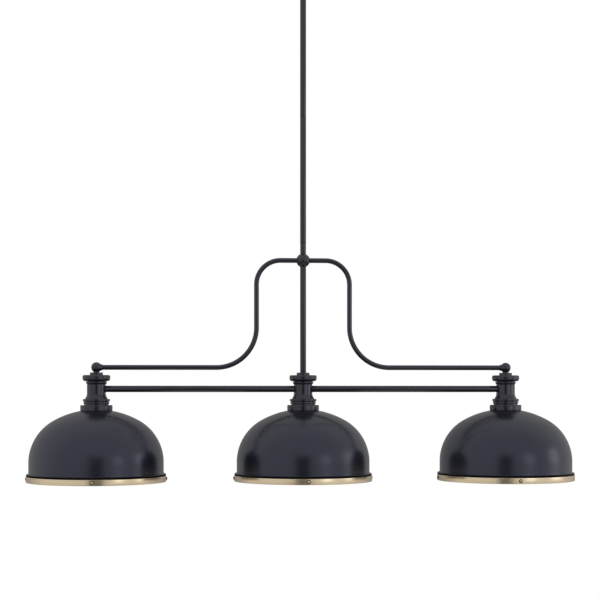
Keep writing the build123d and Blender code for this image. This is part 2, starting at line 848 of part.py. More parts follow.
with BuildPart() as screw_shells:
    for x in stations.values():
        with BuildSketch(Plane.XY.offset(bar_z + shell_top)):
            with Locations((x, 0)):
                Circle(socket_cavity - thread_gap)
                Circle(socket_cavity - thread_gap - shell_wall, mode=Mode.SUBTRACT)
        extrude(amount=-shell_length)
save(screw_shells.part, "screw_shells")

with BuildPart() as centre_contacts:
    for x in stations.values():
        with BuildSketch(Plane.XY.offset(bar_z + socket_web_base)):
            with Locations((x, 0)):
                Circle(contact_radius)
        extrude(amount=-contact_thick)
save(centre_contacts.part, "centre_contacts")

with BuildPart() as shade_ring_nuts:
    for x in stations.values():
        with BuildSketch(upright(x, bar_z)):
            outline(
                [
                    (socket_radius + thread_gap, ring_nut_top),
                    (ring_nut_radius, ring_nut_top),
                    (ring_nut_radius, ring_nut_top - ring_nut_thick + ring_nut_bevel),
                    (ring_nut_radius - 2 * ring_nut_bevel, ring_nut_top - ring_nut_thick),
                    (socket_radius + thread_gap, ring_nut_top - ring_nut_thick),
                ]
            )
        revolve(axis=plumb(x))
save(shade_ring_nuts.part, "shade_ring_nuts")

with BuildPart() as bulb_bases:
    for x in stations.values():
        with BuildSketch(upright(x, bar_z)):
            outline(
                [
                    (0, tip_z),
                    (base_tip_radius - edge_break, tip_z),
                    (base_tip_radius, tip_z - edge_break),
                    (base_tip_radius, tip_z - base_tip),
                    (base_radius, tip_z - base_tip - base_cone),
                    (base_radius, tip_z - base_length),
                    (bulb_neck_radius + thread_gap, tip_z - base_length),
                    (bulb_neck_radius + thread_gap, bulb_top + seat_gap),
                    (0, bulb_top + seat_gap),
                ]
            )
        revolve(axis=plumb(x))
save(bulb_bases.part, "bulb_bases")

with BuildPart() as bulbs:
    for x in stations.values():
        with BuildSketch(upright(x, bar_z)):
            with BuildLine():
                bulb_side(0)
                bulb_side(bulb_wall)
                Line((bulb_neck_radius, bulb_top), (bulb_neck_radius - bulb_wall, bulb_top))
                Line((0, bulb_centre - bulb_radius), (0, bulb_centre - bulb_radius + bulb_wall))
            make_face()
        revolve(axis=plumb(x))
save(bulbs.part, "bulbs")
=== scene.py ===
"""Looks of the linear island pendant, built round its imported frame.

Row frame: origin on the ceiling plane over the stem, +Z up, the row of shades along X, front towards -Y.
Heights of the collars and shades are counted from the crossbar's centre line. Profiles are in millimetres,
as on a maker's drawing, and become metres when a surface is made.
"""

import json
import math

import bmesh
import bpy
import numpy as np
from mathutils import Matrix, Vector


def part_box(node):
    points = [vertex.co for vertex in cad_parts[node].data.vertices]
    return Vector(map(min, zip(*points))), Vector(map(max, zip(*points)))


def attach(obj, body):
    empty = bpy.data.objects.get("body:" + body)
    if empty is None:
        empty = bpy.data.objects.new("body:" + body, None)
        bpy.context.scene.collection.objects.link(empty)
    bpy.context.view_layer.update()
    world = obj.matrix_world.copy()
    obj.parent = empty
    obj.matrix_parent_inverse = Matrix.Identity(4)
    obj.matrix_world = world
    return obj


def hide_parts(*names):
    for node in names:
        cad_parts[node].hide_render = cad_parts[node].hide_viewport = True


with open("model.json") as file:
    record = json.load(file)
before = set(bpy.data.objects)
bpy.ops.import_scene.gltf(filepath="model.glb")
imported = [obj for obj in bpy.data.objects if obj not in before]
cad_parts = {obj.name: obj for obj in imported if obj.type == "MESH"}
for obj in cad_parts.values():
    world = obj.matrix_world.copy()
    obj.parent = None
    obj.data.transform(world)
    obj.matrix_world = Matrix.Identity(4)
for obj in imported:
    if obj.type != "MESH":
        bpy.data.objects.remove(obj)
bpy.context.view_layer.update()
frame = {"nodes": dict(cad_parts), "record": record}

MM = 0.001

# ---------------------------------------------------------------- places, from the frame
ROOT, FIXTURE = "ceiling_mount", "fixture"
STATIONS = ("left", "centre", "right")
SIDES = {"left": -1, "right": 1}


def middle(node):
    """Centre of a CAD node's box, in millimetres."""
    low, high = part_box(node)
    return [(low[k] + high[k]) / 2 / MM for k in range(3)]


def top(node):
    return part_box(node)[1][2] / MM


def base(node):
    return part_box(node)[0][2] / MM


bar_z = middle("crossbar_right")[2]
hub_z = middle("hub_ball")[2]
station_x = {name: middle(f"barrel_{name}")[0] for name in STATIONS}

# ---------------------------------------------------------------- sizes
hidden_bore = 5.05  # tapped bore of everything that a nipple joins
pipe_radius = 7.2  # stem rods and body stem
neck_radius = 7.0
tube_edge = 0.5
bar_radius = 7.7
bar_bore = 6.2
bar_edge = 0.3

hub_ball_radius = 16.7
end_ball_radius = 12.4
foot_radius = 7.2  # foot of an end ball, on its collar
foot_edge = 0.3
foot_bore_end = -3.0  # from the ball's centre
boss_turn = math.radians(42)  # where the boss leaves the ball, from the arm's line
boss_face = 15.0
boss_wall = 0.5
boss_bore_end = 8.5
boss_root = 2.0  # hidden in the ball
arm_radius = 5.9
arm_reach = 112.5  # stem's centre line to the arm's upright
arm_top_bend = 58.0
arm_low_bend = 96.7
arm_low_z = top("end_ball_left") - end_ball_radius

cap_top = 39.2
cap_disc_radius = 15.5
cap_disc_base = 33.1
cap_flange_radius = 32.9
cap_flange_base = 18.6
cap_groove_radius = 22.0
cap_bead_top = 17.8
cap_bead_radius = 24.8
barrel_top = 10.9
barrel_radius = 22.4
barrel_bore = 19.4
barrel_flare_top = -15.7
barrel_flare_radius = 26.8
barrel_flare_edge = 1.0
ring_top = -24.2
ring_radius = 32.3
ring_edge = 5.5
ring_recess_radius = 29.5
ring_bead_top = -31.0
ring_bead_radius = 30.8
ring_bead_base = -35.5
ring_foot_radius = 29.0
ring_bore = 26.0
holder_top = -38.7
holder_radius = 38.3
holder_wall = 2.0
holder_plate = 3.0
stack_wall = 2.2  # web at the top of each hollow piece
seat_gap = 0.05

shade_wall = 1.2
crown_top = -48.8
crown_radius = 205.5
crown_centre = crown_top - crown_radius
crown_turn = math.radians(29.8)  # where the crown arc runs into the shoulder arc, from the axis
shade_radius = 160.1
shade_hole = 20.4
wall_drop = 26.4  # upright wall from the shoulder arc to the bead
bead_radius = 2.5
bead_set_in = 0.6  # bead's centre inside the lip
bead_half = math.radians(42)  # where the underside painted dark as shade starts, from the bead's top
bead_back = 0.3
lip_radius = shade_radius + 3.6
lip_drop = 17.9
lip_edge = 0.3

band_wall = 2.4
band_gap = 0.1
band_hem = 1.1
band_hem_width = 4.7
screw_head = 4.25
screw_proud = 2.7
screw_edge = 0.45  # upright edge under the head's dome
screw_shank = 1.9
screw_tail = 1.6  # past the shade's wall
dark_film_turn = math.radians(33)  # where the dark film starts on the head's dome
dark_film_ring = 0.5  # ring of the band round the head
dark_film_thick = 0.04
dark_film_step = 0.06  # the ring's face, out from the screw's seat
dark_film_crest = 0.10  # where the ring turns up on to the head
dark_film_sink = 0.15  # the ring's hidden back, in from the seat
dark_film_depth = 0.2  # the film's hidden back, under the head's dome

socket_radius = 19.8
socket_cavity = 14.6
socket_web = 12.5
ring_nut_radius = 27.5
ring_nut_thick = 6.0
base_radius = 13.1
bulb_radius = 30.0
bulb_neck_radius = 12.3
bulb_wall = 0.9
lamp_thread = 3.6  # pitch
socket_thread = 2.5  # pitch
socket_groove = 0.6
socket_nipple_hole = 8.05
ring_nut_bevel = 1.5
grip_depth = 0.45
grip_count = 24
shell_wall = 0.4
shell_groove = 0.8
cap_groove = 0.85
cap_collar = 3.5  # plain part of the screw cap, over the glass
cone_drop = 6.5  # lamp's tip to the top of its screw cap
cone_radius = 4.4  # of the insulating cone, where the tip contact sits on it
cone_top = 1.8  # below the lamp's tip
tip_radius = 4.6
tip_thick = 2.2
bulb_neck_length = 12.0
press_length = 34.0
filament_ring = 11.0
filament_radius = 0.45
lead_radius = 0.35
lead_root = 1.8  # lamp's centre line to a lead, at its foot

nipple_radius = 5.0
nipple_bore = 3.5
nipple_thread = 1.0
nipple_groove = 0.4
stud_spacing = 52.0
stud_radius = 2.05
stud_thread = 0.7
stud_groove = 0.25
thread_gap = 0.05
ball_nut_radius = 6.0
ball_nut_foot = 2.5
ball_nut_foot_radius = 5.0
ball_nut_waist = 4.2


# ================================================================ surfaces
def rounded(corners, radii, steps=7):
    """A closed outline with round corners: each corner gives way to the arc that touches both its sides.
    The arc's ends lie radius / tan(half the corner's angle) from the corner, and its points are the blend
    (start sin(turn - t) + end sin t) / sin turn about the arc's centre. A radius of 0 keeps the corner."""
    corners = np.asarray(corners, float)
    radii = np.broadcast_to(np.asarray(radii, float), (len(corners),))
    out = []
    for before, here, after, radius in zip(np.roll(corners, 1, 0), corners, np.roll(corners, -1, 0), radii):
        if radius == 0:
            out.append(here[None])
            continue
        into = (before - here) / np.linalg.norm(before - here)
        away = (after - here) / np.linalg.norm(after - here)
        half = math.acos(np.clip(into @ away, -1, 1)) / 2
        centre = here + (into + away) / np.linalg.norm(into + away) * radius / math.sin(half)
        start = here + into * radius / math.tan(half) - centre
        end = here + away * radius / math.tan(half) - centre
        turn = math.pi - 2 * half
        t = np.linspace(0, turn, steps + 1)[:, None]
        out.append(centre + (start * np.sin(turn - t) + end * np.sin(t)) / math.sin(turn))
    return np.concatenate(out)


def arc(centre, radius, start, end, steps):
    """Points centre + radius (sin a, cos a) for a from start to end: the angle counts from the axis."""
    a = np.linspace(start, end, steps + 1)
    return np.stack([centre[0] + radius * np.sin(a), centre[1] + radius * np.cos(a)], 1)


def grid_quads(rows, columns, closed_rows=True):
    """The quads of a grid whose columns close on themselves, and whose rows do too if asked."""
    i = np.arange(rows if closed_rows else rows - 1)[:, None]
    j = np.arange(columns)[None]
    here, below = i * columns, (i + 1) % rows * columns
    right = (j + 1) % columns
    return np.stack([here + j, here + right, below + right, below + j], -1).reshape(-1, 4)


def turned_grid(outline, origin=(0, 0, 0), along=(0, 0, 1), segments=96, wobble=None):
    """Surface of revolution: origin + height x along + radius x (u cos t + v sin t), with u and v square to
    along. outline holds (radius, height). wobble(t, outline) returns a radius to add at each grid point."""
    outline = np.asarray(outline, float)
    along = np.asarray(along, float) / np.linalg.norm(along)
    u = np.cross((0, 1, 0) if abs(along[1]) < 0.9 else (1, 0, 0), along)
    u = u / np.linalg.norm(u)
    v = np.cross(along, u)
    t = np.linspace(0, 2 * np.pi, segments, endpoint=False)
    ring = np.cos(t)[:, None] * u + np.sin(t)[:, None] * v
    radius = np.repeat(outline[:, 0:1], segments, 1)
    if wobble is not None:
        radius = radius + wobble(t[None], outline)
    points = np.asarray(origin, float) + outline[:, None, 1:2] * along + radius[..., None] * ring[None]
    return points.reshape(-1, 3), grid_quads(len(outline), segments)


def swept_grid(path, across, radius, segments=32):
    """A rod along a flat path: path + radius x (n cos t + across sin t), where n is square to the path's
    tangent and to across. Rings of no radius close both ends."""
    tangent = np.gradient(path, axis=0)
    tangent = tangent / np.linalg.norm(tangent, axis=1, keepdims=True)
    n = np.cross(tangent, across)
    t = np.linspace(0, 2 * np.pi, segments, endpoint=False)
    spokes = np.cos(t)[None, :, None] * n[:, None] + np.sin(t)[None, :, None] * np.asarray(across)[None, None]
    rings = path[:, None] + radius * spokes
    ends = [np.repeat(path[k][None, None], segments, 1) for k in (0, -1)]
    points = np.concatenate([ends[0], rings, ends[1]])
    return points.reshape(-1, 3), grid_quads(len(points), segments, closed_rows=False)


def thread(pitch, depth, low, high, skin=0.0):
    """A wobble for turned_grid: the round helical groove -depth (1 - cos(2 pi height / pitch - t)) / 2.
    It fades out over one pitch at both ends, and leaves what lies inside the radius skin alone."""
    def wobble(t, outline):
        radius, height = outline[:, 0:1], outline[:, 1:2]
        fade = np.clip((height - low) / pitch, 0, 1) * np.clip((high - height) / pitch, 0, 1)
        return -depth * fade * (radius >= skin) * (1 - np.cos(2 * np.pi * height / pitch - t)) / 2
    return wobble


def threaded_grid(origin, radius, bore, high, low, pitch, depth, segments=28):
    """A threaded rod or tube from high to low, with eight rows to a pitch so that the groove is round."""
    lead_in = 0.3
    rows = np.arange(high - lead_in, low + lead_in, -pitch / 8)
    side = np.stack([np.full(len(rows), radius), rows], 1)
    ends = [(bore, high), (radius - depth, high)], [(radius - depth, low), (bore, low)]
    outline = np.concatenate([ends[0], side, ends[1]])
    groove = thread(pitch, depth, low, high, radius - depth / 2)
    return turned_grid(outline, origin, segments=segments, wobble=groove)


def gather(grids):
    """Several grids as one: their points in a row, and their quads with the numbers moved up to match."""
    points, quads, count = [], [], 0
    for p, q in grids:
        points.append(p)
        quads.append(q + count)
        count += len(p)
    return np.concatenate(points), np.concatenate(quads)


def piece(name, grid, material, body, stands_for=(), sharp=38):
    """Makes the mesh in metres at the object's own origin, joins its seams and poles, and turns its faces
    out. Edges sharper than the given angle stay crisp."""
    points, quads = grid
    mesh = bpy.data.meshes.new(name)
    mesh.from_pydata((points * MM).tolist(), [], quads.tolist())
    work = bmesh.new()
    work.from_mesh(mesh)
    bmesh.ops.remove_doubles(work, verts=work.verts, dist=2e-6)
    bmesh.ops.recalc_face_normals(work, faces=work.faces)
    work.to_mesh(mesh)
    work.free()
    mesh.shade_smooth()
    mesh.set_sharp_from_angle(angle=math.radians(sharp))
    made = bpy.data.objects.new(name, mesh)
    bpy.context.scene.collection.objects.link(made)
    mesh.materials.append(material)
    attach(made, body)
    if stands_for:
        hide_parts(*stands_for)
    return made


# ================================================================ finishes
MAP_SOCKETS = ("From Min", "From Max", "To Min", "To Max")


class Finish:
    """A material's node tree, with short ways to add the nodes that these finishes share."""

    def __init__(self, name, colour, metallic, roughness):
        self.material = bpy.data.materials.new(name)
        self.material.use_nodes = True
        self.nodes = self.material.node_tree.nodes
        self.links = self.material.node_tree.links
        self.shader = self.nodes["Principled BSDF"]
        self.set(self.shader, "Base Color", (*colour, 1.0))
        self.set(self.shader, "Metallic", metallic)
        self.set(self.shader, "Roughness", roughness)
        self.place = self.nodes.new("ShaderNodeTexCoord").outputs["Object"]

    def set(self, node, socket, value):
        node.inputs[socket].default_value = value

    def join(self, out, node, socket):
        self.links.new(out, node.inputs[socket])

    def stretch(self, scale):
        """Object coordinates times a scale for each axis."""
        node = self.nodes.new("ShaderNodeMapping")
        self.set(node, "Scale", scale)
        self.join(self.place, node, "Vector")
        return node.outputs["Vector"]

    def noise(self, scale, detail=3.0, roughness=0.55, at=None):
        node = self.nodes.new("ShaderNodeTexNoise")
        self.set(node, "Scale", scale)
        self.set(node, "Detail", detail)
        self.set(node, "Roughness", roughness)
        self.join(at or self.place, node, "Vector")
        return node.outputs["Fac"]

    def spread(self, value, low, high, to_low, to_high):
        """Moves value's stretch low..high to to_low..to_high, and holds it there."""
        node = self.nodes.new("ShaderNodeMapRange")
        for socket, number in zip(MAP_SOCKETS, (low, high, to_low, to_high)):
            self.set(node, socket, number)
        self.join(value, node, "Value")
        return node.outputs["Result"]

    def tint(self, value, first, second):
        """A colour between first and second."""
        node = self.nodes.new("ShaderNodeMix")
        node.data_type = "RGBA"
        self.set(node, "A", (*first, 1.0))
        self.set(node, "B", (*second, 1.0))
        self.join(value, node, "Factor")
        return node.outputs["Result"]

    def add(self, first, second, share):
        """first + share x second."""
        node = self.nodes.new("ShaderNodeMath")
        node.operation = "MULTIPLY_ADD"
        self.join(second, node, 0)
        self.set(node, 1, share)
        self.join(first, node, 2)
        return node.outputs["Value"]

    def bump(self, height, depth):
        """Relief of the given depth in metres, for a height of 0 to 1."""
        node = self.nodes.new("ShaderNodeBump")
        self.set(node, "Strength", 1.0)
        self.set(node, "Distance", depth)
        self.join(height, node, "Height")
        self.join(node.outputs["Normal"], self.shader, "Normal")

    def colour(self, out):
        self.join(out, self.shader, "Base Color")

    def rough(self, out):
        self.join(out, self.shader, "Roughness")

    def mottle(self, value, first, second, roughness=None, reach=(0.3, 0.7)):
        """Lets value's stretch over reach carry the colour from first to second, and the roughness too."""
        self.colour(self.tint(self.spread(value, *reach, 0.0, 1.0), first, second))
        if roughness:
            self.rough(self.spread(value, *reach, *roughness))


def shade_enamel():
    """Satin charcoal enamel: slow clouds in colour and gloss, and the faint orange peel of a sprayed coat."""
    f = Finish("shade_enamel", (0.0055, 0.0060, 0.0100), 0.0, 0.30)
    f.set(f.shader, "Specular IOR Level", 0.58)
    f.set(f.shader, "Specular Tint", (0.75, 0.78, 1.0, 1.0))
    f.mottle(f.noise(9.0, 4.0, 0.5), (0.0042, 0.0049, 0.0085), (0.0068, 0.0071, 0.0120), (0.23, 0.30))
    f.bump(f.add(f.noise(420.0, 2.0), f.noise(90.0, 2.0), 1.5), 0.000012)
    return f.material


def bead_painted_shade():
    """Painted shade: the shade's enamel on the underside of the rolled bead, made nearly black and dull as the
    crease over the band looks in shadow.
    """
    f = Finish("bead_painted_shade", (0.0012, 0.0012, 0.0016), 0.0, 0.6)
    f.set(f.shader, "Specular IOR Level", 0.04)
    f.mottle(f.noise(60.0, 3.0), (0.0009, 0.0009, 0.0012), (0.0016, 0.0016, 0.0022), (0.54, 0.66))
    return f.material


def dark_coat():
    """Powder coat on the tubes and turned pieces: near black with a bronze cast, finely pebbled."""
    f = Finish("dark_coat", (0.0066, 0.0064, 0.0090), 0.0, 0.28)
    f.set(f.shader, "Specular IOR Level", 0.58)
    f.set(f.shader, "Specular Tint", (0.83, 0.81, 1.0, 1.0))
    f.mottle(f.noise(22.0, 4.0, 0.55), (0.0050, 0.0048, 0.0065), (0.0090, 0.0085, 0.0110), (0.19, 0.27))
    f.bump(f.noise(500.0, 2.0), 0.0000025)
    return f.material


def aged_brass():
    """Antique brass brushed round the band: long thin streaks in colour, gloss and relief, and browner
    clouds."""
    f = Finish("aged_brass", (0.52, 0.41, 0.27), 1.0, 0.34)
    streaks = f.noise(1.0, 3.0, 0.65, f.stretch((10.0, 10.0, 1500.0)))
    clouds = f.noise(12.0, 3.0, 0.5)
    blend = f.add(f.spread(streaks, 0.25, 0.75, 0.0, 0.7), f.spread(clouds, 0.3, 0.7, 0.0, 1.0), 0.3)
    f.mottle(blend, (0.46, 0.37, 0.24), (0.665, 0.565, 0.40), (0.28, 0.19), (0.0, 1.0))
    f.bump(streaks, 0.000006)
    f.set(f.shader, "Anisotropic", 0.35)
    return f.material


def screw_brass():
    """The screws' antique brass, worn brighter in small spots."""
    f = Finish("screw_brass", (0.46, 0.37, 0.24), 1.0, 0.18)
    spots = f.noise(380.0, 3.0)
    f.mottle(spots, (0.36, 0.28, 0.17), (0.60, 0.50, 0.34), (0.24, 0.15), (0.35, 0.65))
    f.bump(spots, 0.00001)
    return f.material


def screw_patina_and_shade():
    """A dark film round the edge of each screw's head: patina, together with painted contact shade where the
    head meets the band.
    """
    f = Finish("screw_patina_and_shade", (0.07, 0.052, 0.034), 1.0, 0.35)
    film = f.noise(420.0, 3.0)
    f.mottle(film, (0.05, 0.036, 0.024), (0.10, 0.075, 0.048), (0.30, 0.42))
    f.bump(film, 0.00001)
    return f.material


def zinc_plate():
    """Zinc plating: pale grey with the faint spangle of the bath."""
    f = Finish("zinc_plate", (0.55, 0.54, 0.50), 1.0, 0.35)
    spangle = f.noise(260.0, 3.0)
    f.mottle(spangle, (0.46, 0.45, 0.42), (0.62, 0.61, 0.57), (0.30, 0.44))
    f.bump(spangle, 0.000012)
    return f.material


def green_screw():
    """The earth screw's green passivated finish."""
    f = Finish("green_screw", (0.05, 0.28, 0.09), 0.6, 0.35)
    film = f.noise(500.0, 3.0)
    f.mottle(film, (0.035, 0.22, 0.07), (0.07, 0.34, 0.12))
    f.bump(film, 0.00001)
    return f.material


def socket_moulding():
    """Black heat-proof moulding, matte and slightly grainy."""
    f = Finish("socket_moulding", (0.02, 0.02, 0.02), 0.0, 0.55)
    grain = f.noise(1100.0, 2.0)
    f.mottle(f.noise(60.0), (0.016, 0.016, 0.016), (0.028, 0.027, 0.026))
    f.rough(f.spread(grain, 0.3, 0.7, 0.48, 0.64))
    f.bump(grain, 0.00002)
    return f.material


def contact_brass():
    """Plain stamped brass inside the sockets."""
    f = Finish("contact_brass", (0.70, 0.50, 0.24), 1.0, 0.30)
    film = f.noise(150.0, 3.0)
    f.mottle(film, (0.60, 0.41, 0.18), (0.76, 0.57, 0.30), (0.24, 0.40))
    f.bump(film, 0.00001)
    return f.material


def lamp_cap():
    """Spun aluminium of the lamps' screw caps."""
    f = Finish("lamp_cap", (0.75, 0.75, 0.75), 1.0, 0.28)
    rings = f.noise(1.0, 2.0, 0.6, f.stretch((30.0, 30.0, 2600.0)))
    f.colour(f.tint(rings, (0.66, 0.66, 0.66), (0.80, 0.80, 0.80)))
    f.rough(f.spread(rings, 0.3, 0.7, 0.22, 0.36))
    f.bump(rings, 0.00001)
    return f.material


def lamp_glass():
    """Thin clear glass, faintly smoky and with the slight unevenness of a blown bulb."""
    f = Finish("lamp_glass", (0.93, 0.93, 0.90), 0.0, 0.02)
    f.set(f.shader, "Transmission Weight", 1.0)
    f.set(f.shader, "IOR", 1.46)
    waves = f.noise(35.0, 2.0)
    f.colour(f.tint(waves, (0.90, 0.90, 0.87), (0.96, 0.96, 0.94)))
    f.bump(waves, 0.00003)
    return f.material


def filament_wire():
    """Unlit filament and its supports: dull grey metal."""
    f = Finish("filament_wire", (0.30, 0.28, 0.25), 1.0, 0.45)
    film = f.noise(800.0, 2.0)
    f.colour(f.tint(film, (0.22, 0.20, 0.18), (0.40, 0.37, 0.33)))
    return f.material


ENAMEL, BEAD_SHADE, COAT, BRASS, SCREW = shade_enamel(), bead_painted_shade(), dark_coat(), aged_brass(), screw_brass()
PATINA_AND_SHADE, ZINC, GREEN, MOULDING = screw_patina_and_shade(), zinc_plate(), green_screw(), socket_moulding()
CONTACT, CAP, GLASS, WIRE = contact_brass(), lamp_cap(), lamp_glass(), filament_wire()


# ================================================================ shades, bands and their screws
shoulder_radius = (shade_radius - crown_radius * math.sin(crown_turn)) / (1 - math.sin(crown_turn))
shoulder = (shade_radius - shoulder_radius,
            crown_centre + (crown_radius - shoulder_radius) * math.cos(crown_turn))
bead_top = shoulder[1] - wall_drop
bead_middle = bead_top - bead_radius
lip_base = bead_top - lip_drop
bead_x = lip_radius - bead_set_in
bead_root = bead_middle - math.sqrt(bead_radius**2 - bead_set_in**2)
bead_split = bead_middle + bead_radius * math.cos(bead_half)
band_radius = lip_radius + band_gap + band_wall
band_top = bead_root - 2 * band_gap
band_base = lip_base - 2 * band_gap - band_hem
screw_height = (band_top + band_base) / 2
screw_rise = screw_proud - screw_edge
screw_dome = (screw_head**2 + screw_rise**2) / (2 * screw_rise)
screw_dome_centre = screw_proud - screw_dome
screw_dome_turn = math.asin(screw_head / screw_dome)


def dome_side(depth):
    """The dome's side from the hole down to the upright wall: the crown arc, then the shoulder arc that
    meets it. depth is how far inside the outer face it lies."""
    hole_turn = math.asin(shade_hole / (crown_radius - depth))
    crown = arc((0, crown_centre), crown_radius - depth, hole_turn, crown_turn, 26)
    sweep = arc(shoulder, shoulder_radius - depth, crown_turn, math.pi / 2, 44)
    return np.concatenate([crown, sweep[1:]])


def shade_outline():
    """Outside from the hole to the rolled bead's upper part and the lip, then the inside back up."""
    lip = rounded(
        [
            (lip_radius, bead_split),
            (lip_radius, lip_base),
            (lip_radius - shade_wall, lip_base),
            (lip_radius - shade_wall, bead_middle),
            (shade_radius - shade_wall, bead_top),
        ],
        [0, lip_edge, lip_edge, 0, 0],
        4,
    )
    wall = np.linspace((shade_radius, shoulder[1] - 1), (shade_radius, bead_top + 0.8), 8)
    fillet = np.array([(shade_radius + 0.1, bead_top + 0.3), (shade_radius + 0.4, bead_top + 0.05)])
    bead = arc((bead_x, bead_middle), bead_radius, 0, bead_half, 8)
    return np.concatenate([dome_side(0), wall, fillet, bead, lip, dome_side(shade_wall)[::-1]])


def bead_underside():
    """The rest of the rolled bead, from bead_half round to the lip, and a flat back just inside the lip."""
    root_turn = math.pi - math.asin(bead_set_in / bead_radius)
    turns = arc((bead_x, bead_middle), bead_radius, bead_half, root_turn, 10)
    back = lip_radius - bead_back
    return np.concatenate([[(back, bead_split)], turns, [(back, bead_root)]])


def screw_outline():
    """A low dome on a thin upright edge, then the plain shank; radius against distance along the screw."""
    end = -band_wall - shade_wall - screw_tail
    cap = arc((0, screw_dome_centre), screw_dome, 0, screw_dome_turn, 12)
    shank = np.array([(screw_head, 0), (screw_shank, 0), (screw_shank, end), (0, end)])
    return np.concatenate([cap, shank])


def dark_film_outline():
    """A film over the outer part of a screw's head and a narrow ring of the band round it, closed by a back
    that lies inside the head."""
    ring = screw_head + dark_film_ring
    foot = np.array([(ring, -dark_film_sink), (ring, dark_film_step), (screw_head + dark_film_thick, dark_film_crest)])
    film = arc((0, screw_dome_centre), screw_dome + dark_film_thick, screw_dome_turn, dark_film_turn, 10)
    under = arc((0, screw_dome_centre), screw_dome - dark_film_depth, dark_film_turn, dark_film_turn, 0)
    return np.concatenate([foot, film, under, [(screw_head - 0.3, -dark_film_sink)]])


def band_outline():
    """An upright wall with a hem turned in under the shade's lip."""
    inside, hem_inside = band_radius - band_wall, band_radius - band_hem_width
    return rounded(
        [
            (inside, band_top),
            (band_radius, band_top),
            (band_radius, band_base),
            (hem_inside, band_base),
            (hem_inside, band_base + band_hem),
            (inside, band_base + band_hem),
        ],
        [0.2, 0.5, 0.6, 0.3, 0.3, 0],
        5,
    )


for name in STATIONS:
    at = (station_x[name], 0, bar_z)
    dome, underside, band = (turned_grid(outline, at, segments=256)
                             for outline in (shade_outline(), bead_underside(), band_outline()))
    piece(f"dome_{name}", dome, ENAMEL, FIXTURE, [f"shade_{name}"], sharp=50)
    # the bead's lower half, in near-black painted shade
    piece(f"bead_underside_{name}", underside, BEAD_SHADE, FIXTURE)
    piece(f"brass_band_{name}", band, BRASS, FIXTURE, [f"rim_band_{name}"])
    heads, films = [], []
    for quarter in range(4):
        outward = (math.cos(quarter * math.pi / 2), math.sin(quarter * math.pi / 2), 0)
        seat = [at[k] + outward[k] * (band_radius + seat_gap) for k in range(3)]
        seat[2] += screw_height
        heads.append(turned_grid(screw_outline(), seat, outward, 40))
        films.append(turned_grid(dark_film_outline(), seat, outward, 40))
    piece(f"band_screws_{name}", gather(heads), SCREW, FIXTURE, [f"rim_screws_{name}"])
    # a dark film round each screw head: patina and painted contact shade
    piece(f"screw_patina_and_shade_{name}", gather(films), PATINA_AND_SHADE, FIXTURE)

# ================================================================ collars
CAP_OUTLINE = rounded(
    [
        (hidden_bore, cap_top),
        (cap_disc_radius, cap_top),
        (cap_disc_radius, cap_disc_base),
        (cap_flange_radius, cap_disc_base),
        (cap_flange_radius, cap_flange_base),
        (cap_groove_radius, cap_flange_base),
        (cap_groove_radius, cap_bead_top),
        (cap_bead_radius, cap_bead_top),
        (cap_bead_radius, barrel_top),
        (barrel_bore, barrel_top),
        (barrel_bore, cap_disc_base - stack_wall),
        (hidden_bore, cap_disc_base - stack_wall),
    ],
    [0, 1, 0.8, 3.5, 6, 0.3, 0.2, 1, 4.5, 0, 3, 0],
)
BARREL_OUTLINE = rounded(
    [
        (hidden_bore, barrel_top),
        (barrel_radius, barrel_top),
        (barrel_radius, barrel_flare_top),
        (barrel_flare_radius, ring_top + barrel_flare_edge),
        (barrel_flare_radius, ring_top),
        (barrel_bore, ring_top),
        (barrel_bore, barrel_top - stack_wall),
        (hidden_bore, barrel_top - stack_wall),
    ],
    [0, 0.4, 16, 0.4, 0, 0, 0, 0],
)
RING_OUTLINE = rounded(
    [
        (hidden_bore, ring_top),
        (ring_radius, ring_top),
        (ring_radius, ring_top - ring_edge),
        (ring_recess_radius, ring_top - ring_edge),
        (ring_recess_radius, ring_bead_top),
        (ring_bead_radius, ring_bead_top),
        (ring_bead_radius, ring_bead_base),
        (ring_foot_radius, ring_bead_base),
        (ring_foot_radius, holder_top),
        (ring_bore, holder_top),
        (ring_bore, ring_top - stack_wall),
        (hidden_bore, ring_top - stack_wall),
    ],
    [0, 1.6, 1.6, 0.3, 0.3, 1.2, 0.9, 0.4, 0, 0, 3, 0],
)
holder_inside = holder_radius - holder_wall
rim_seat = crown_centre + math.sqrt(crown_radius**2 - holder_inside**2) + seat_gap
HOLDER_OUTLINE = rounded(
    [
        (hidden_bore, holder_top),
        (holder_radius, holder_top),
        (holder_radius, rim_seat),
        (holder_inside, rim_seat),
        (holder_inside, holder_top - holder_plate),
        (hidden_bore, holder_top - holder_plate),
    ],
    [0, 2, 0.4, 0.4, 1, 0],
)
COLLAR = {"collar_cap": CAP_OUTLINE, "barrel": BARREL_OUTLINE, "collar_ring": RING_OUTLINE,
          "shade_holder": HOLDER_OUTLINE}
for name in STATIONS:
    for part, outline in COLLAR.items():
        piece(f"turned_{part}_{name}", turned_grid(outline, (station_x[name], 0, bar_z), segments=160), COAT,
              FIXTURE, [f"{part}_{name}"])


# ================================================================ stem, hub, arms, end balls and crossbar
def pipe_outline(high, low, radius):
    """A tube's wall with small chamfers at its ends."""
    return rounded(
        [(hidden_bore, high), (radius, high), (radius, low), (hidden_bore, low)],
        [0, tube_edge, tube_edge, 0],
        3,
    )


STEM_TUBES = {"stem_rod_upper": pipe_radius, "stem_rod_lower": pipe_radius, "stem_neck": neck_radius,
              "body_stem": pipe_radius}
for node, radius in STEM_TUBES.items():
    tube = turned_grid(pipe_outline(top(node), base(node), radius), segments=64)
    piece(f"turned_{node}", tube, COAT, FIXTURE, [node])

hub_turn = math.asin(pipe_radius / hub_ball_radius)
hub_flat = hub_ball_radius * math.cos(hub_turn)  # ball's centre to the faces that the tubes meet
hub = np.concatenate([arc((0, 0), hub_ball_radius, hub_turn, math.pi - hub_turn, 40),
                      [(hidden_bore, -hub_flat), (hidden_bore, hub_flat)]])
piece("turned_hub_ball", turned_grid(hub, (0, 0, hub_z), segments=96), COAT, FIXTURE,
      ["hub_ball"])


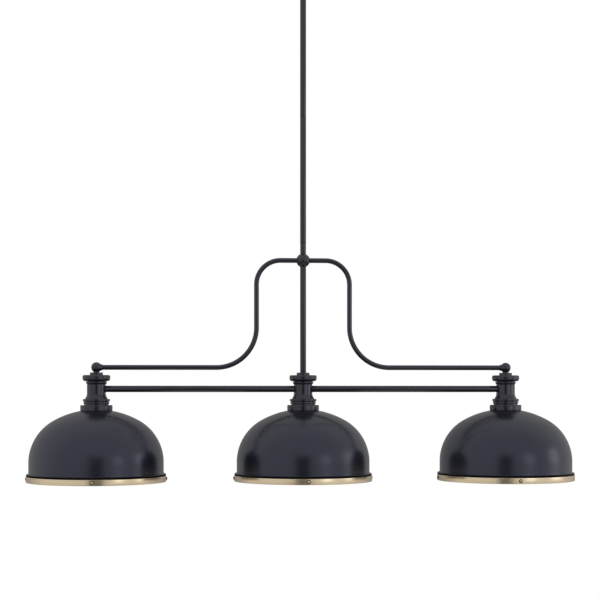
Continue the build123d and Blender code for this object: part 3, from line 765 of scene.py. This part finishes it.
def arm_path(side):
    """Centre line of an arm: out of the hub, a quarter circle down, a wider quarter circle out, and the long
    lower run. Each stretch is sampled evenly."""
    inner, outer = sorted(abs(corner[0]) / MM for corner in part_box(f"arm_{'left' if side < 0 else 'right'}"))
    upper = np.linspace((inner, hub_z), (arm_reach - arm_top_bend, hub_z), 6)
    bend = arc((arm_reach - arm_top_bend, hub_z - arm_top_bend), arm_top_bend, 0, math.pi / 2, 40)
    low_centre = (arm_reach + arm_low_bend, arm_low_z + arm_low_bend)
    lower_bend = arc(low_centre, arm_low_bend, 1.5 * math.pi, math.pi, 56)
    run = np.linspace((low_centre[0], arm_low_z), (outer, arm_low_z), 24)
    flat = np.concatenate([upper[:-1], bend, lower_bend, run[1:]])
    return np.stack([side * flat[:, 0], np.zeros(len(flat)), flat[:, 1]], 1)


def ball_outline(foot_z):
    """A ball on its foot, with the foot's bore from below. Heights are from the ball's centre."""
    foot_turn = math.pi - math.asin(foot_radius / end_ball_radius)
    foot = rounded(
        [
            (foot_radius, foot_z + 1),
            (foot_radius, foot_z),
            (hidden_bore, foot_z),
            (hidden_bore, foot_bore_end),
            (0, foot_bore_end),
        ],
        [0, foot_edge, 0, 0, 0],
    )
    return np.concatenate([arc((0, 0), end_ball_radius, 0, foot_turn, 36), foot])


BOSS_OUTLINE = rounded(
    [
        (0, boss_root),
        (end_ball_radius * math.sin(boss_turn), end_ball_radius * math.cos(boss_turn)),
        (arm_radius + boss_wall, boss_face),
        (arm_radius, boss_face),
        (arm_radius, boss_bore_end),
        (0, boss_bore_end),
    ],
    [0, 0, 0.3, 0, 0, 0],
)
for name, side in SIDES.items():
    arm = swept_grid(arm_path(side), (0, 1, 0), arm_radius, 40)
    piece(f"bent_arm_{name}", arm, COAT, FIXTURE, [f"arm_{name}"])
    at = (station_x[name], 0, arm_low_z)
    ball = turned_grid(ball_outline(base(f"end_ball_{name}") - arm_low_z), at, segments=72)
    boss = turned_grid(BOSS_OUTLINE, at, (-side, 0, 0), 72)
    piece(f"turned_end_ball_{name}", gather([ball, boss]), COAT, FIXTURE, [f"end_ball_{name}"])
    bar_low, bar_high = (corner[0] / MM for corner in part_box(f"crossbar_{name}"))
    wall = [(bar_bore, bar_low), (bar_radius, bar_low), (bar_radius, bar_high), (bar_bore, bar_high)]
    bar = turned_grid(rounded(wall, [0, bar_edge, bar_edge, 0], 3), (0, 0, bar_z), (1, 0, 0), 72)
    piece(f"drawn_crossbar_{name}", bar, COAT, FIXTURE, [f"crossbar_{name}"])


# ================================================================ lamps and sockets
socket_top = top("lamp_socket_centre") - bar_z
socket_base = base("lamp_socket_centre") - bar_z
ring_nut_top = top("shade_ring_nuts") - bar_z
shell_top, shell_base = top("screw_shells") - bar_z, base("screw_shells") - bar_z
cap_tip, cap_end = top("bulb_bases") - bar_z, base("bulb_bases") - bar_z
glass_top = top("bulbs") - bar_z
glass_centre = base("bulbs") - bar_z + bulb_radius


def socket_grid(at):
    """The socket's moulded body: a thread for the ring nut, a rounded mouth and the cavity for the shell."""
    rows = np.arange(socket_top, socket_base + 3, -0.5)
    outside = np.stack([np.full(len(rows), socket_radius), rows], 1)
    cavity_roof, nipple_hole = socket_top - socket_web, socket_top - socket_nipple_hole
    mouth = rounded(
        [
            (socket_radius, socket_base + 2),
            (socket_radius, socket_base),
            (socket_cavity, socket_base),
            (socket_cavity, cavity_roof),
            (0, cavity_roof),
        ],
        [0, 1.2, 0.6, 0, 0],
    )
    outline = np.concatenate([[(hidden_bore, socket_top)], outside, mouth,
                              [(0, nipple_hole), (hidden_bore, nipple_hole)]])
    thread_end = ring_nut_top - ring_nut_thick - 16
    grooves = thread(socket_thread, socket_groove, thread_end, ring_nut_top + 2, socket_radius - 0.01)
    return turned_grid(outline, at, segments=96, wobble=grooves)


def ring_nut_grid(at):
    """The nut that clamps a shade. Its rim falls back by grip_depth (1 + cos(grip_count t)) as grips."""
    bore, low = socket_radius + thread_gap, ring_nut_top - ring_nut_thick
    outline = rounded(
        [
            (bore, ring_nut_top),
            (ring_nut_radius, ring_nut_top),
            (ring_nut_radius, low + ring_nut_bevel),
            (ring_nut_radius - 2 * ring_nut_bevel, low),
            (bore, low),
        ],
        [0, 0.3, 0.8, 0.8, 0],
        4,
    )

    def grips(t, outline):
        rim = outline[:, 0:1] > ring_nut_radius - 2 * grip_depth
        return -grip_depth * rim * (1 + np.cos(grip_count * t))
    return turned_grid(outline, at, segments=240, wobble=grips)


def shell_grid(at):
    """The socket's rolled screw shell: a thin tube whose two sides carry the same helix."""
    rows = np.arange(shell_top, shell_base - 0.01, -lamp_thread / 10)
    outer, inner = (np.stack([np.full(len(rows), socket_cavity - depth), rows], 1)
                    for depth in (thread_gap, thread_gap + shell_wall))
    helix = thread(lamp_thread, shell_groove, shell_base, shell_top)
    return turned_grid(np.concatenate([outer, inner[::-1]]), at, segments=64, wobble=helix)


def cap_grid(at):
    """The lamp's screw cap: rolled helix, plain collar over the glass, and the edge that holds the cone."""
    shoulder_z = cap_tip - cone_drop
    rows = np.arange(shoulder_z - 0.1, cap_end + 1.5, -lamp_thread / 12)
    side = np.stack([np.full(len(rows), base_radius), rows], 1)
    neck, neck_top = bulb_neck_radius + thread_gap, glass_top + seat_gap
    outline = np.concatenate([[(0, shoulder_z), (base_radius - 0.6, shoulder_z)], side,
                              [(base_radius, cap_end), (neck, cap_end), (neck, neck_top), (0, neck_top)]])
    helix = thread(lamp_thread, cap_groove, cap_end + cap_collar, shoulder_z, base_radius - 0.1)
    return turned_grid(outline, at, segments=72, wobble=helix)


def insulator_grid(at):
    """The glass cone between the cap and the tip contact."""
    high, wide, low = cap_tip - cone_top, base_radius - 1, cap_tip - cone_drop - 0.1
    corners = [(0, high), (cone_radius, high), (wide, low + 0.5), (wide, low), (0, low)]
    return turned_grid(rounded(corners, [0, 0.5, 1, 0, 0]), at, segments=64)


def tip_grid(at):
    """The tip contact: a low button."""
    low = cap_tip - tip_thick
    corners = [(0, cap_tip), (tip_radius, cap_tip), (tip_radius, low), (0, low)]
    return turned_grid(rounded(corners, [0, tip_thick / 2, 0, 0]), at, segments=40)


def bulb_side(depth):
    """Neck, taper and round end; the taper is the tangent from the neck's end to the round end's circle."""
    neck, radius = bulb_neck_radius - depth, bulb_radius - depth
    neck_end = glass_top - bulb_neck_length
    rise = neck_end - glass_centre
    turn = math.atan2(neck, rise) + math.acos(radius / math.hypot(neck, rise))
    end = arc((0, glass_centre), radius, turn, math.pi, 48)
    way = (1 - np.cos(np.linspace(0, np.pi, 12))) / 2
    taper = np.array([(neck, neck_end)]) * (1 - way[:, None]) + end[0] * way[:, None]
    return np.concatenate([[(neck, glass_top), (neck, (glass_top + neck_end) / 2)], taper, end[1:]])


def bulb_grid(at):
    """The glass, outside then inside, so that it is a thin closed wall."""
    return turned_grid(np.concatenate([bulb_side(0), bulb_side(bulb_wall)[::-1]]), at, segments=96)


def stem_press_grid(at):
    """The glass foot that holds the lamp's wires: a flare that narrows to a thin rod. Rows are (radius, depth
    below the glass's top)."""
    foot = np.array([(0, 1), (10.5, 1), (10.5, 2), (3.6, 12), (3.0, press_length), (0, press_length)], float)
    foot[:, 1] = glass_top - foot[:, 1]
    return turned_grid(rounded(foot, [0, 0.4, 0.4, 6, 1.5, 0]), at, segments=40)


def filament_grids(at):
    """Two straight leads that spread from the foot, and between their ends the filament: the arc
    filament_ring (cos a, sin a) for a from -30 to 210 degrees."""
    at = np.array(at, float)
    foot, ring_z = glass_top - press_length + 1, glass_centre + 2
    spread = math.radians(30)
    grids = []
    for side in (-1, 1):
        end = np.array((side * filament_ring * math.cos(spread), -filament_ring * math.sin(spread), ring_z))
        start = np.array((side * lead_root, 0, foot))
        way = np.linspace(0, 1, 12)[:, None]
        square = np.cross(end - start, (0, 0, 1.0))
        path = at + start * (1 - way) + end * way
        grids.append(swept_grid(path, square / np.linalg.norm(square), lead_radius, 10))
    a = np.linspace(-spread, math.pi + spread, 80)
    circle = np.stack([filament_ring * np.cos(a), filament_ring * np.sin(a), np.full(len(a), ring_z)], 1)
    grids.append(swept_grid(at + circle, (0, 0, 1), filament_radius, 10))
    return grids


spots = [(station_x[name], 0, bar_z) for name in STATIONS]
for name, at in zip(STATIONS, spots):
    piece(f"moulded_socket_{name}", socket_grid(at), MOULDING, FIXTURE,
          [f"lamp_socket_{name}"])
piece("gripped_ring_nuts", gather(ring_nut_grid(at) for at in spots), ZINC, FIXTURE,
      ["shade_ring_nuts"])
piece("rolled_screw_shells", gather(shell_grid(at) for at in spots), CONTACT, FIXTURE,
      ["screw_shells"], sharp=60)
piece("rolled_lamp_caps", gather(cap_grid(at) for at in spots), CAP, FIXTURE, ["bulb_bases"],
      sharp=60)
piece("lamp_insulators", gather(insulator_grid(at) for at in spots), MOULDING, FIXTURE)
piece("lamp_tips", gather(tip_grid(at) for at in spots), CAP, FIXTURE)
piece("blown_bulbs", gather(bulb_grid(at) for at in spots), GLASS, FIXTURE, ["bulbs"])
piece("stem_presses", gather(stem_press_grid(at) for at in spots), GLASS, FIXTURE)
piece("filaments", gather(grid for at in spots for grid in filament_grids(at)), WIRE, FIXTURE)

# ================================================================ ceiling hardware
canopy_base = base("canopy")


def ball_nut_grid(at):
    """A round nut on a short foot: foot, waist, then the ball down to its drilled end."""
    centre = -ball_nut_foot - math.sqrt(ball_nut_radius**2 - ball_nut_waist**2)
    waist_turn = math.asin(ball_nut_waist / ball_nut_radius)
    bore = stud_radius + thread_gap
    ball = arc((0, centre), ball_nut_radius, waist_turn, math.pi - math.asin(bore / ball_nut_radius), 32)
    corners = [(bore, 0), (ball_nut_foot_radius, 0), (ball_nut_foot_radius, -ball_nut_foot),
               (ball_nut_waist, -ball_nut_foot)]
    return turned_grid(np.concatenate([rounded(corners, [0, 0.2, 0.4, 0], 4), ball[1:]]), at, segments=48)


nuts = [(side * stud_spacing / 2, 0, canopy_base) for side in (-1, 1)]
piece("turned_ball_nuts", gather(ball_nut_grid(at) for at in nuts), COAT, ROOT,
      ["canopy_ball_nuts"])
studs = [threaded_grid((side * stud_spacing / 2, 0, 0), stud_radius, 0, top("canopy_studs"),
                       base("canopy_studs"), stud_thread, stud_groove) for side in (-1, 1)]
piece("threaded_studs", gather(studs), ZINC, ROOT, ["canopy_studs"], sharp=60)
nipple = threaded_grid((0, 0, 0), nipple_radius, nipple_bore, top("centre_nipple"), base("centre_nipple"),
                       nipple_thread, nipple_groove, 40)
piece("threaded_centre_nipple", nipple, ZINC, ROOT, ["centre_nipple"], sharp=60)

# ---------------------------------------------------------------- finishes of CAD nodes that show as they are
SLOT_FINISH = {"dark_paint": COAT, "shade_paint": ENAMEL, "aged_brass": BRASS, "plated_steel": ZINC,
               "earth_green": GREEN, "socket_body": MOULDING, "contact_brass": CONTACT, "lamp_cap": CAP,
               "lamp_glass": GLASS}
for subpart in frame["record"]["subparts"]:
    node = frame["nodes"][subpart["node"]]
    node.data.materials.clear()
    node.data.materials.append(SLOT_FINISH[subpart["material_slot"]])


# ================================================================ stage, in metres and watts
WHITE = (1.0, 1.0, 1.0, 1.0)
floor_radius = 1.5
floor_z = -2.4
floor_whiteness = 0.85
shade_z = (bar_z - 120) * MM  # height of the middle of the shades, where the lamps aim
camera_place = (-0.2639, -3.5, bar_z * MM - 0.0036)
camera_turn = -4.19  # degrees about the vertical
camera_lens = 87.27  # millimetres, on a sensor that is 36 wide
camera_rise = 0.1507  # of the picture's width, so that upright lines stay upright


def flat_card(name, corners, material):
    """One flat face."""
    mesh = bpy.data.meshes.new(name)
    mesh.from_pydata(corners, [], [list(range(len(corners)))])
    mesh.materials.append(material)
    made = bpy.data.objects.new(name, mesh)
    bpy.context.scene.collection.objects.link(made)
    return made


def floor_paint():
    """Pale paint that the camera sees nearly as white as the background, with a trace of a shadow."""
    f = Finish("floor_paint", (0.86, 0.86, 0.86), 0.0, 0.7)
    f.colour(f.tint(f.noise(1.5), (0.85, 0.85, 0.85), (0.87, 0.87, 0.87)))
    path = f.nodes.new("ShaderNodeLightPath")
    white = f.nodes.new("ShaderNodeEmission")
    f.set(white, "Color", WHITE)
    f.set(white, "Strength", 1.0)
    mix = f.nodes.new("ShaderNodeMixShader")
    f.join(f.spread(path.outputs["Is Camera Ray"], 0.0, 1.0, 0.0, floor_whiteness), mix, "Fac")
    f.join(f.shader.outputs["BSDF"], mix, 1)
    f.join(white.outputs["Emission"], mix, 2)
    f.join(mix.outputs["Shader"], f.nodes["Material Output"], "Surface")
    return f.material


def flag_cloth():
    """Dark grey cloth."""
    f = Finish("flag_cloth", (0.14, 0.14, 0.14), 0.0, 0.9)
    f.colour(f.tint(f.noise(40.0), (0.12, 0.12, 0.12), (0.16, 0.16, 0.16)))
    return f.material


def floor_disc():
    """A round floor well under the lamp: floor_radius (cos t, sin t)."""
    t = np.linspace(0, 2 * np.pi, 96, endpoint=False)
    rim = np.stack([floor_radius * np.cos(t), floor_radius * np.sin(t), np.full(len(t), floor_z)], 1)
    return flat_card("floor", rim.tolist(), floor_paint())


def softbox(name, place, width, height, power, mirrored=True):
    """A rectangular lamp at place that faces the middle shade."""
    data = bpy.data.lights.new(name, "AREA")
    data.shape = "RECTANGLE"
    data.size, data.size_y = width, height
    data.energy = power
    made = bpy.data.objects.new(name, data)
    made.location = place
    made.rotation_euler = (Vector((0, 0, shade_z)) - Vector(place)).to_track_quat("-Z", "Y").to_euler()
    made.visible_glossy = mirrored
    bpy.context.scene.collection.objects.link(made)
    return made


def dark_flag(place, width, height):
    """An upright dark card behind the camera, which only reflections show: its corners are place plus and
    minus half the width and height. It stands for the unlit side of the studio, behind the photographer."""
    corners = [(place[0] + x * width / 2, place[1], place[2] + z * height / 2)
               for x, z in ((-1, -1), (1, -1), (1, 1), (-1, 1))]
    made = flat_card("dark_flag", corners, flag_cloth())
    made.visible_camera = made.visible_diffuse = made.visible_transmission = made.visible_shadow = False
    return made


def studio_world(light, background, far_wall, far_floor):
    """Plain light all round, and a white background for what the camera, metal and glass see. Reflections
    show it darker towards the far wall, behind the lamp, and towards the floor far below."""
    world = bpy.data.worlds.new("studio")
    bpy.context.scene.world = world
    world.use_nodes = True
    nodes, links = world.node_tree.nodes, world.node_tree.links
    nodes.clear()
    direction = nodes.new("ShaderNodeSeparateXYZ")
    links.new(nodes.new("ShaderNodeTexCoord").outputs["Generated"], direction.inputs["Vector"])
    falls = []
    for axis, near, far, darkest in (("Y", 0.1, 0.95, far_wall), ("Z", -0.12, -0.5, far_floor)):
        fall = nodes.new("ShaderNodeMapRange")
        for socket, number in zip(MAP_SOCKETS, (near, far, 1.0, darkest)):
            fall.inputs[socket].default_value = number
        links.new(direction.outputs[axis], fall.inputs["Value"])
        falls.append(fall.outputs["Result"])
    both = nodes.new("ShaderNodeMath")
    both.operation = "MULTIPLY"
    links.new(falls[0], both.inputs[0])
    links.new(falls[1], both.inputs[1])

    path = nodes.new("ShaderNodeLightPath")
    seen = nodes.new("ShaderNodeMath")
    seen.operation = "MAXIMUM"
    links.new(path.outputs["Is Camera Ray"], seen.inputs[0])
    links.new(path.outputs["Is Transmission Ray"], seen.inputs[1])

    def glow(strength):
        node = nodes.new("ShaderNodeBackground")
        node.inputs["Color"].default_value = WHITE
        node.inputs["Strength"].default_value = strength
        return node

    plain, mirrored, white = glow(light), glow(background), glow(background)
    links.new(both.outputs["Value"], mirrored.inputs["Strength"])
    out = plain.outputs["Background"]
    for ray, layer in ((path.outputs["Is Glossy Ray"], mirrored), (seen.outputs["Value"], white)):
        mix = nodes.new("ShaderNodeMixShader")
        links.new(ray, mix.inputs["Fac"])
        links.new(out, mix.inputs[1])
        links.new(layer.outputs["Background"], mix.inputs[2])
        out = mix.outputs["Shader"]
    links.new(out, nodes.new("ShaderNodeOutputWorld").inputs["Surface"])


floor_disc()
softbox("front_softbox", (2.3, -3.3, shade_z + 0.45), width=1.0, height=1.4, power=5.4)
softbox("right_softbox", (3.9, -0.7, shade_z + 0.5), width=1.3, height=1.5, power=8.5)
softbox("top_softbox", (0, -0.3, 1.4), width=2.4, height=1.4, power=6.0, mirrored=False)
dark_flag((-0.30, -3.6, shade_z - 0.1), width=1.5, height=2.4)
studio_world(light=0.8, background=1.0, far_wall=0.35, far_floor=0.3)

camera_data = bpy.data.cameras.new("camera")
camera_data.sensor_width = 36
camera_data.lens = camera_lens
camera_data.shift_y = camera_rise
camera = bpy.data.objects.new("camera", camera_data)
camera.location = camera_place
camera.rotation_euler = (math.radians(90), 0, math.radians(camera_turn))
bpy.context.scene.collection.objects.link(camera)
bpy.context.scene.camera = camera
bpy.context.scene.view_settings.view_transform = "Standard"
